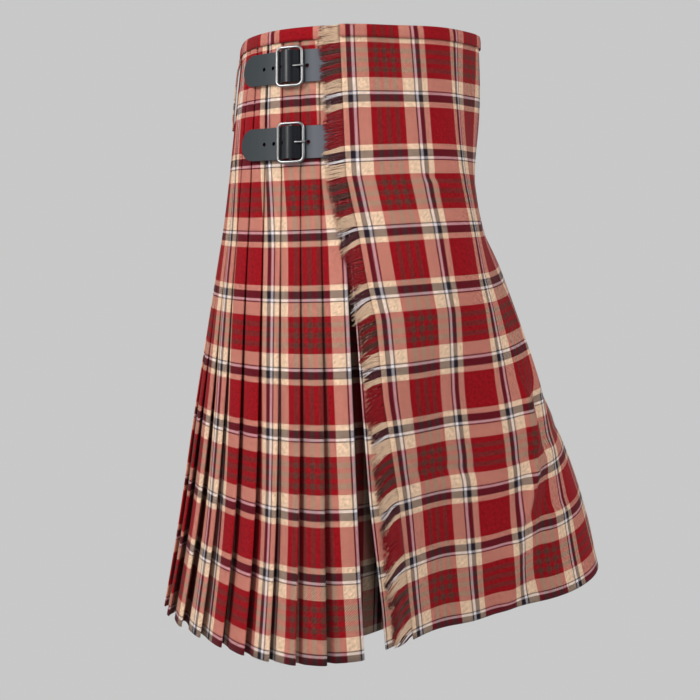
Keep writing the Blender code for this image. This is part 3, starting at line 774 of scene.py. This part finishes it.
def belt_loop_cloth(side, material):
    """Belt loop: a folded strip sewn flat at both ends and standing off between them.

    Its profile is a spline with its height off the cloth cut to a share, and
    it is crowned by a parabola across.
    """
    profile = np.array(LOOP_PROFILE)
    knots = np.linspace(0.0, 1.0, len(profile))
    fine = spline(knots, profile, np.linspace(0.0, 1.0, 49))
    height = LOOP_LOWEST + LOOP_FLATNESS * (fine[:, 1:] - LOOP_LOWEST)
    turn = LOOP_ANGLES[side]
    scale = float(round_length(turn, LOOP_MIDDLE))
    across = np.linspace(-0.5, 0.5, 9) * LOOP_WIDTH
    turns = turn + across[None, :] / scale
    crown = 0.35 * (1.0 - (across / across[-1]) ** 2)
    points = skin(turns, fine[:, :1], np.maximum(LOOP_LOWEST, height) + crown[None, :])
    u = path_length(points) + 21.0
    name = "belt_loop_" + side
    return cloth_piece(name + "_cloth", points, u, fine[:, :1] + 8.0, material, name, LOOP_WALL)


def at_buckle(place, along, down, rise):
    """Point near a buckle: along the strap towards the front, down, and off the cloth."""
    turn, drop = place
    scale = float(round_length(turn, drop))
    return skin(turn + np.asarray(along, float) / scale, drop + np.asarray(down, float), rise)


def rod(name, path, radius, closed, steel, nodes, sides=14, flat=1.0):
    """Round wire along a path: a ring of points square to each step, ends capped.

    flat squashes the ring off the cloth, as on stamped wire.
    """
    path = np.asarray(path, float)
    if closed:
        ahead = np.roll(path, -1, axis=0) - np.roll(path, 1, axis=0)
    else:
        ahead = np.gradient(path, axis=0)
    ahead = unit(ahead)
    side = np.cross(ahead, unit(path.mean(axis=0) * [1.0, 1.0, 0.0]))
    weak = np.linalg.norm(side, axis=1) < 0.2
    side[weak] = np.cross(ahead[weak], [0.0, 0.0, 1.0])
    side = unit(side)
    up = np.cross(side, ahead)
    angle = np.arange(sides) * 2.0 * math.pi / sides
    out = np.cos(angle)[None, :, None] * side[:, None]
    off = flat * np.sin(angle)[None, :, None] * up[:, None]
    rings = path[:, None] + radius * (out + off)
    count = len(path)
    index = np.arange(count * sides).reshape(count, sides)
    onward = np.roll(index, -1, axis=0) if closed else index[1:]
    index_0 = index if closed else index[:-1]
    quads = np.stack([index_0, np.roll(index_0, -1, axis=1), np.roll(onward, -1, axis=1), onward], axis=-1)
    faces = quads.reshape(-1, 4).tolist()
    if not closed:
        faces += [index[0, ::-1].tolist(), index[-1].tolist()]
    mesh = bpy.data.meshes.new(name)
    mesh.from_pydata((rings.reshape(-1, 3) * MM).tolist(), [], faces)
    mesh.validate()
    return finish_mesh(mesh, steel, nodes, sharp=60.0)


def rounded_outline():
    """Buckle outline: a quarter circle at each corner of a box, its sides in short steps."""
    corner = np.repeat([(1.0, 1.0), (-1.0, 1.0), (-1.0, -1.0), (1.0, -1.0)], 9, axis=0)
    half = np.array([FRAME_LENGTH, FRAME_HEIGHT]) / 2.0 - FRAME_WIRE - FRAME_CORNER
    angle = np.radians(np.add.outer(90.0 * np.arange(4), 11.25 * np.arange(9)).ravel())
    points = corner * half + FRAME_CORNER * np.stack([np.cos(angle), np.sin(angle)], axis=-1)
    result = []
    for here, following in zip(points, np.roll(points, -1, axis=0)):
        pieces = max(1, int(round(np.linalg.norm(following - here) / OUTLINE_STEP)))
        result.extend(here + (following - here) * k / pieces for k in range(pieces))
    return np.array(result)


def buckle(level, place, steel):
    """Buckle: flattened wire frame, middle bar and a prong hooked round the bar."""
    outline = rounded_outline()
    rise = FRAME_RISE - FRAME_TILT * outline[:, 0]
    ring = at_buckle(place, outline[:, 0], outline[:, 1], rise)
    rod("buckle_ring_" + level, ring, FRAME_WIRE, True, steel, ["buckle_frame_" + level], 16, 0.8)
    reach = FRAME_HEIGHT / 2.0 - FRAME_WIRE
    down = np.linspace(-reach, reach, 12)
    bar = at_buckle(place, 0.0 * down, down, BAR_HEIGHT)
    rod("buckle_bar_" + level, bar, BAR_RADIUS, False, steel, [])
    path = []
    for angle in range(-70, -281, -15):
        turn = math.radians(angle)
        path.append((PRONG_LOOP * math.cos(turn), BAR_HEIGHT + PRONG_LOOP * math.sin(turn)))
    front = FRAME_LENGTH / 2.0 - FRAME_WIRE
    rest = FRAME_RISE - FRAME_TILT * front + 0.8 * FRAME_WIRE + 0.3 + PRONG_RADIUS
    path += [(4.0, BAR_HEIGHT + PRONG_LOOP + 0.5), (front - 4.0, rest - 0.1)]
    path += [(front, rest), (front + 2.6, rest - 0.2)]
    path = np.array(path)
    points = at_buckle(place, path[:, 0], 0.0, path[:, 1])
    rod("buckle_tongue_" + level, points, PRONG_RADIUS, False, steel, ["buckle_prong_" + level], 12)


def strap_leather(level, place, leather):
    """Strap: straight sides, a round tip that lifts a little, and punched holes.

    The half width at the tip follows a circle, and the bend over the bar is
    the profile smoothed by a moving mean.
    """
    profile = np.array(STRAP_PROFILE)[::-1]
    along = np.unique(np.concatenate([
        np.linspace(STRAP_TIP, -50.0, 16), np.linspace(-50.0, -STRAP_BEND, 20),
        np.linspace(-STRAP_BEND, STRAP_BEND, 36), np.linspace(STRAP_BEND, STRAP_ROOT, 20),
    ]))
    rise = np.interp(along, profile[:, 0], profile[:, 1])
    kernel = np.array([1.0, 2.0, 3.0, 2.0, 1.0]) / 9.0
    soft = np.convolve(np.pad(rise, 2, mode="edge"), kernel, mode="valid")
    rise = np.where(np.abs(along) < STRAP_BEND + 2.0, soft, rise)
    half = STRAP_WIDTH / 2.0
    round_end = np.clip((along - STRAP_TIP) / half, 0.0, 1.0)
    halves = half * np.sqrt(np.maximum(1.0 - (1.0 - round_end) ** 2, 0.006))
    across = np.linspace(-1.0, 1.0, 15)
    down = halves[:, None] * across[None, :]
    points = at_buckle(place, along[:, None], down, rise[:, None])
    rows = points.transpose(1, 0, 2)
    mesh = sheet_mesh("strap_leather_" + level, rows, along, along, down.T)
    item = finish_mesh(mesh, leather, ["strap_" + level], STRAP_WALL)
    cutters = []
    for hole in STRAP_HOLES:
        here = float(np.interp(hole, along, rise))
        slope = float(np.interp(hole + 1.0, along, rise) - np.interp(hole - 1.0, along, rise)) / 2.0
        low = at_buckle(place, hole + 4.0 * slope, 0.0, here - 4.0)
        high = at_buckle(place, hole - 4.0 * slope, 0.0, here + 4.0)
        cutters.append((low, high, STRAP_HOLE_RADIUS))
    front = FRAME_LENGTH / 2.0
    ends = at_buckle(place, np.array([1.2, front - 2.0]), 0.0, BAR_HEIGHT + np.array([2.75, 2.9]))
    cutters.append((ends[0], ends[1], PRONG_RADIUS + 0.7))
    punch(item, cutters)


def punch(item, holes):
    """Cuts round holes through a leather piece, from low to high points, into its mesh."""
    drafts = []
    index = np.arange(PUNCH_SIDES)
    onward = np.roll(index, -1)
    angle = index * 2.0 * math.pi / PUNCH_SIDES
    circle = np.stack([np.cos(angle), np.sin(angle), 0.0 * angle], axis=-1)
    faces = np.stack([index, onward, onward + PUNCH_SIDES, index + PUNCH_SIDES], axis=-1).tolist()
    faces += [index[::-1].tolist(), (index + PUNCH_SIDES).tolist()]
    for low, high, radius in holes:
        low = Vector(low) * MM
        high = Vector(high) * MM
        mesh = bpy.data.meshes.new("punch")
        ring = circle * radius * MM
        points = np.concatenate([ring, ring + [0.0, 0.0, (high - low).length]])
        mesh.from_pydata(points.tolist(), [], faces)
        draft = placed("punch", mesh)
        turn = (high - low).to_track_quat("Z", "Y").to_matrix().to_4x4()
        draft.matrix_world = Matrix.Translation(low) @ turn
        step = item.modifiers.new("punch", "BOOLEAN")
        step.operation = "DIFFERENCE"
        step.solver = "EXACT"
        step.object = draft
        drafts.append(draft)
    bpy.context.view_layer.update()
    graph = bpy.context.evaluated_depsgraph_get()
    mesh = bpy.data.meshes.new_from_object(item.evaluated_get(graph))
    item.modifiers.clear()
    item.data = mesh
    mesh.shade_smooth()
    mesh.set_sharp_from_angle(angle=math.radians(38.0))
    for draft in drafts:
        bpy.data.objects.remove(draft, do_unlink=True)


def buckle_tab_leather(level, place, leather):
    """Tab: lies on the cloth behind the buckle and hooks round its bar."""
    flat = TAB_WALL / 2.0 + 0.3
    path = [(TAB_END, flat), (-25.0, flat), (-18.0, flat), (-12.0, flat), (-6.0, flat + 0.1)]
    path += [(-2.6, BAR_HEIGHT - TAB_LOOP - 0.4)]
    for angle in range(-75, 116, 19):
        turn = math.radians(angle)
        path.append((TAB_LOOP * math.cos(turn), BAR_HEIGHT + TAB_LOOP * math.sin(turn)))
    path = np.array(path)
    down = np.linspace(-0.5, 0.5, 9) * TAB_WIDTH
    points = at_buckle(place, path[:, :1], down[None, :], path[:, 1:])
    rows = points.transpose(1, 0, 2)
    u = path_length(rows)
    mesh = sheet_mesh("buckle_tab_leather_" + level, rows, u, u, down[:, None])
    item = finish_mesh(mesh, leather, ["buckle_tab_" + level], TAB_WALL)
    ends = at_buckle(place, np.array([-5.4, 7.0]), 0.0, BAR_HEIGHT)
    punch(item, [(ends[0], ends[1], PRONG_LOOP + PRONG_RADIUS + 0.6)])


class Nodes:
    """Small helper that adds shader nodes and joins them."""

    def __init__(self, tree):
        self.tree = tree

    def add(self, kind, **values):
        """New node with its options set."""
        node = self.tree.nodes.new(kind)
        for name, value in values.items():
            setattr(node, name, value)
        return node

    def put(self, node, socket, value):
        """Joins another node's output to a socket, or sets the socket to a constant."""
        if isinstance(value, bpy.types.NodeSocket):
            self.tree.links.new(value, node.inputs[socket])
        else:
            node.inputs[socket].default_value = value

    def math(self, operation, *values):
        """One sum on numbers."""
        node = self.add("ShaderNodeMath", operation=operation)
        for index, value in enumerate(values):
            self.put(node, index, value)
        return node.outputs[0]

    def wave(self, place, length):
        """Sine of the place, one wave to each length."""
        return self.math("SINE", self.math("MULTIPLY", self.math("DIVIDE", place, length), 2.0 * math.pi))

    def step(self, value, low, high, start=0.0, end=1.0):
        """Soft step from start to end between the low and the high value."""
        node = self.add("ShaderNodeMapRange", interpolation_type="SMOOTHSTEP")
        for index, part in enumerate((value, low, high, start, end)):
            self.put(node, index, part)
        return node.outputs[0]

    def mix(self, factor, first, second, blend="MIX"):
        """Mixes two colours."""
        node = self.add("ShaderNodeMix", data_type="RGBA", blend_type=blend)
        self.put(node, 0, factor)
        self.put(node, 6, first)
        self.put(node, 7, second)
        return node.outputs[2]

    def lit(self, colour, light):
        """Colour times a light value."""
        node = self.add("ShaderNodeCombineColor")
        for index in range(3):
            self.put(node, index, light)
        return self.mix(1.0, colour, node.outputs[0], "MULTIPLY")

    def soften(self, colour, power):
        """Colour to a power."""
        node = self.add("ShaderNodeGamma")
        self.put(node, 0, colour)
        self.put(node, 1, power)
        return node.outputs[0]

    def noise(self, place, scale, detail):
        """Noise from nought to one, by the place on the piece."""
        node = self.add("ShaderNodeTexNoise")
        self.put(node, "Vector", place)
        self.put(node, "Scale", scale)
        self.put(node, "Detail", detail)
        return node.outputs[0]

    def cloth_map(self):
        """The piece's own map, in metres along it and across it."""
        return self.add("ShaderNodeUVMap", uv_map="cloth").outputs[0]

    def stretch(self, place, kind, turn, scale):
        """Map turned and stretched for a noise that has a grain."""
        node = self.add("ShaderNodeMapping", vector_type=kind)
        self.put(node, "Vector", place)
        self.put(node, "Rotation", (0.0, 0.0, math.radians(turn)))
        self.put(node, "Scale", scale)
        return node.outputs[0]

    def split(self, place):
        """The two parts of a map."""
        node = self.add("ShaderNodeSeparateXYZ")
        self.put(node, 0, place)
        return node.outputs[0], node.outputs[1]

    def bump(self, height, strength, distance):
        """Normal from a height."""
        node = self.add("ShaderNodeBump")
        self.put(node, "Strength", strength)
        self.put(node, "Distance", distance)
        self.put(node, "Height", height)
        return node.outputs[0]

    def use(self, group, values):
        """Places a node group, fills its inputs and gives its outputs."""
        node = self.add("ShaderNodeGroup", node_tree=group)
        for socket, value in values.items():
            self.put(node, socket, value)
        return node.outputs


def new_group(name, inputs, outputs):
    """Node group with named sockets: itself, its helper, its inputs and its last node."""
    group = bpy.data.node_groups.new(name, "ShaderNodeTree")
    for in_out, sockets in (("INPUT", inputs), ("OUTPUT", outputs)):
        for label, kind in sockets.items():
            group.interface.new_socket(name=label, in_out=in_out, socket_type="NodeSocket" + kind)
    n = Nodes(group)
    return group, n, n.add("NodeGroupInput").outputs, n.add("NodeGroupOutput")


def new_material(name, finish):
    """Material with the constants of its finish: itself, its helper and its shader."""
    material = bpy.data.materials.new(name)
    material.use_nodes = True
    shader = material.node_tree.nodes["Principled BSDF"]
    for socket, value in finish.items():
        shader.inputs[socket].default_value = value
    return material, Nodes(material.node_tree), shader


def stripe_colour(n, place, half, stripes):
    """Colour of a thread from its place in the check, which runs out and back again."""
    away = n.math("PINGPONG", place, half * MM)
    share = n.math("DIVIDE", away, half * MM)
    ramp = n.add("ShaderNodeValToRGB")
    ramp.color_ramp.interpolation = "CONSTANT"
    marks = ramp.color_ramp.elements
    while len(marks) > 1:
        marks.remove(marks[-1])
    marks[0].position = 0.0
    marks[0].color = stripes[0][1]
    for edge, colour in stripes[1:]:
        mark = marks.new(edge / half)
        mark.color = colour
    n.put(ramp, 0, share)
    return ramp.outputs[0]


def check_weave():
    """Group: check woven in twill from the cloth's map. Out: colour, height of the threads.

    The share of the threads that run down the cloth is a half plus a sine of
    u plus v, with a wave every four threads. The two stripes' colours are
    mixed by it as screen colours, which is how the eye mixes fine threads.
    """
    group, n, given, out = new_group(
        "check_weave", {"Map": "Vector", "Thread": "Float"}, {"Colour": "Color", "Height": "Float"}
    )
    u, v = n.split(given["Map"])
    thread = given["Thread"]
    down = stripe_colour(n, u, DOWN_HALF, DOWN_STRIPES)
    across = stripe_colour(n, n.math("SUBTRACT", v, ACROSS_START * MM), ACROSS_HALF, ACROSS_STRIPES)
    wave = n.wave(n.math("ADD", u, v), n.math("MULTIPLY", thread, TWILL_THREADS))
    show = n.math("MULTIPLY_ADD", wave, 0.40, 0.5)
    mixed = n.mix(show, n.soften(across, 1.0 / SCREEN_POWER), n.soften(down, 1.0 / SCREEN_POWER))
    grain = n.mix(show, n.wave(v, thread), n.wave(u, thread))
    ridge = n.math("MULTIPLY", n.math("ABSOLUTE", wave), 0.6)
    n.put(out, "Colour", n.soften(mixed, SCREEN_POWER))
    n.put(out, "Height", n.math("MULTIPLY_ADD", grain, 0.2, ridge))
    return group


def fibre_light():
    """Group: light and dark of wool fibre. Out: a light value about one.

    It is the amount times a fine noise on the stretched map, plus the least
    light, all times one plus the wear times a slow noise on the cloth's map.
    """
    inputs = {"Map": "Vector", "Stretched": "Vector", "Amount": "Float", "Least": "Float", "Wear": "Float"}
    group, n, given, out = new_group("fibre_light", inputs, {"Light": "Float"})
    fine = n.math("MULTIPLY_ADD", n.noise(given["Stretched"], 1.0, 2.0), given["Amount"], given["Least"])
    slow = n.math("SUBTRACT", n.noise(given["Map"], 22.0, 3.0), 0.5)
    n.put(out, "Light", n.math("MULTIPLY", fine, n.math("MULTIPLY_ADD", slow, given["Wear"], 1.0)))
    return group


def wool_material(name, weave, fibre, shade):
    """Woven wool: the check with slanting fibre, painted shade down in the folds and by the shade value, a
    soft sheen.
    """
    material, n, shader = new_material(name, {
        "Roughness": 0.92, "Specular IOR Level": 0.12, "Sheen Weight": 0.03, "Sheen Roughness": 0.5,
    })
    cloth = n.cloth_map()
    woven = n.use(weave, {"Map": cloth, "Thread": THREAD * MM})
    slanted = n.stretch(cloth, "TEXTURE", 45.0, (1.0 / 620.0, 1.0 / 260.0, 1.0))
    values = {"Map": cloth, "Stretched": slanted, "Amount": 1.4, "Least": 0.30, "Wear": 0.16}
    light = n.use(fibre, values)["Light"]
    # Painted shade: darker at the bottom of open folds, by the attribute from the pleats.
    deep = n.add("ShaderNodeAttribute", attribute_name="painted_fold_shade").outputs["Fac"]
    light = n.math("MULTIPLY", light, n.math("MULTIPLY_ADD", deep, -0.46, 1.0))
    # Painted shade over the whole piece: a value below one darkens cloth that lies in shadow.
    light = n.math("MULTIPLY", light, shade)
    n.put(shader, "Base Color", n.lit(woven["Colour"], light))
    n.put(shader, "Normal", n.bump(woven["Height"], 0.35, 0.00012))
    return material


def yarn_material(fibre):
    """Fringe yarn: each thread has the colour of its own row of the check."""
    finish = {"Roughness": 0.85, "Specular IOR Level": 0.2, "Sheen Weight": 0.1}
    material, n, shader = new_material("fringe_wool", finish)
    cloth = n.cloth_map()
    place = n.math("SUBTRACT", n.split(cloth)[1], ACROSS_START * MM)
    frayed = [(edge, MAROON if colour == BLACK else colour) for edge, colour in ACROSS_STRIPES]
    colour = stripe_colour(n, place, ACROSS_HALF, frayed)
    drawn = n.stretch(cloth, "POINT", 0.0, (160.0, 2600.0, 1.0))
    values = {"Map": cloth, "Stretched": drawn, "Amount": 0.7, "Least": 0.62, "Wear": 0.0}
    n.put(shader, "Base Color", n.lit(colour, n.use(fibre, values)["Light"]))
    return material


def leather_material():
    """Black leather: matt grain on the flat; polished where it bends over the buckle's bar, and black
    there, partly painted shade.

    The masks are soft steps along the strap, in metres from the bar: the bend
    round it, its front half that stays dull, and the paler part ahead, a painted sheen.
    """
    material, n, shader = new_material("strap_hide", {})
    along = n.split(n.cloth_map())[0]
    bend = n.step(n.math("ABSOLUTE", along), 0.0100, 0.0145, 1.0, 0.0)
    dull = n.math("MULTIPLY", n.step(along, 0.002, 0.005), bend)
    # Painted sheen: the strap ahead of the buckle is paler, as light glances off it.
    painted_sheen = n.step(along, 0.013, 0.024)
    grain = n.noise(n.add("ShaderNodeTexCoord").outputs["Object"], 900.0, 3.0)
    rough = n.math("MULTIPLY_ADD", grain, 0.16, 0.44)
    # The base colour is black round the bend: partly polish, partly painted shade inside the frame.
    n.put(shader, "Base Color", n.mix(bend, n.mix(painted_sheen, HIDE, HIDE_PAINTED_SHEEN), HIDE_BENT))
    n.put(shader, "Roughness", n.math("MULTIPLY_ADD", bend, -0.16, rough))
    n.put(shader, "Specular IOR Level", n.math("MULTIPLY_ADD", dull, -0.38, 0.45))
    n.put(shader, "Normal", n.bump(grain, 0.25, 0.0001))
    return material


def steel_material():
    """Nickel plate, softly polished, with a faint haze."""
    material, n, shader = new_material("buckle_nickel", {"Base Color": NICKEL, "Metallic": 1.0})
    haze = n.noise(n.add("ShaderNodeTexCoord").outputs["Object"], 300.0, 2.0)
    n.put(shader, "Roughness", n.math("MULTIPLY_ADD", haze, 0.12, 0.28))
    return material


def add_light(name, place, target, size, power):
    """Square lamp that faces a target."""
    lamp = bpy.data.lights.new(name, "AREA")
    lamp.shape = "RECTANGLE"
    lamp.size = size
    lamp.size_y = size
    lamp.energy = power
    item = placed(name, lamp)
    item.location = place
    item.rotation_euler = (Vector(target) - Vector(place)).to_track_quat("-Z", "Y").to_euler()


def studio():
    """Pale floor and room of one even grey, a soft key from the left, a soft light in front."""
    mesh = bpy.data.meshes.new("floor")
    size = FLOOR_HALF
    corners = ((-size, -size), (size, -size), (size, size), (-size, size))
    mesh.from_pydata([(x, y, FLOOR_LEVEL) for x, y in corners], [], [(0, 1, 2, 3)])
    pale, _, _ = new_material("pale_floor", {
        "Base Color": (0.0, 0.0, 0.0, 1.0), "Roughness": 1.0, "Specular IOR Level": 0.0,
        "Emission Color": PALE_GREY, "Emission Strength": 1.0,
    })
    mesh.materials.append(pale)
    floor = placed("floor", mesh)
    world = bpy.data.worlds.new("studio")
    world.use_nodes = True
    n = Nodes(world.node_tree)
    back = world.node_tree.nodes["Background"]
    seen = n.add("ShaderNodeLightPath").outputs["Is Camera Ray"]
    n.put(back, "Color", n.mix(seen, ROOM_GREY, PALE_GREY))
    n.put(back, "Strength", 1.0)
    bpy.context.scene.world = world
    add_light("key", (-2.0, 0.90, 1.00), (0.0, 0.0, -0.35), 0.9, 46.0)
    add_light("front", (-0.95, -2.0, 0.95), (0.0, 0.0, -0.3), 1.2, 31.0)


def camera():
    """Level camera at the wearer's right front, rolled a little as in the photo."""
    lens = bpy.data.cameras.new("camera")
    lens.sensor_width = 36.0
    lens.lens = CAMERA_LENS
    lens.shift_x, lens.shift_y = CAMERA_SHIFT
    item = placed("camera", lens)
    item.location = CAMERA_PLACE
    heading = math.radians(CAMERA_HEADING)
    ahead = Vector((math.cos(heading), math.sin(heading), 0.0))
    level = ahead.to_track_quat("-Z", "Y").to_matrix()
    roll = Matrix.Rotation(CAMERA_ROLL, 3, ahead)
    item.rotation_euler = (roll @ level).to_euler()
    bpy.context.scene.camera = item


def main():
    weave = check_weave()
    fibre = fibre_light()
    wool = wool_material("checked_wool", weave, fibre, 1.0)
    # Painted shade: the under apron's wool at a quarter of the light, as it lies in shadow behind the
    # pleats and the apron.
    wool_painted_shade = wool_material("checked_wool_painted_shade", weave, fibre, 0.24)
    yarn = yarn_material(fibre)
    leather = leather_material()
    steel = steel_material()

    pleats, pleats_wide = pleated_cloth(wool)
    apron, apron_wide = front_apron_cloth(wool)
    facing, facing_wide = apron_facing_cloth(wool)
    under, under_wide = under_apron_cloth(wool_painted_shade)
    band, band_long, band_deep = waistband_cloth(wool)
    fringe = fringe_threads(yarn)
    loops = [belt_loop_cloth(side, wool) for side in LOOP_ANGLES]
    for level, place in STRAP_PLACES.items():
        strap_leather(level, place, leather)
        buckle_tab_leather(level, place, leather)
        buckle(level, place, steel)

    studio()
    camera()


main()
bpy.context.scene.view_settings.view_transform = "Standard"
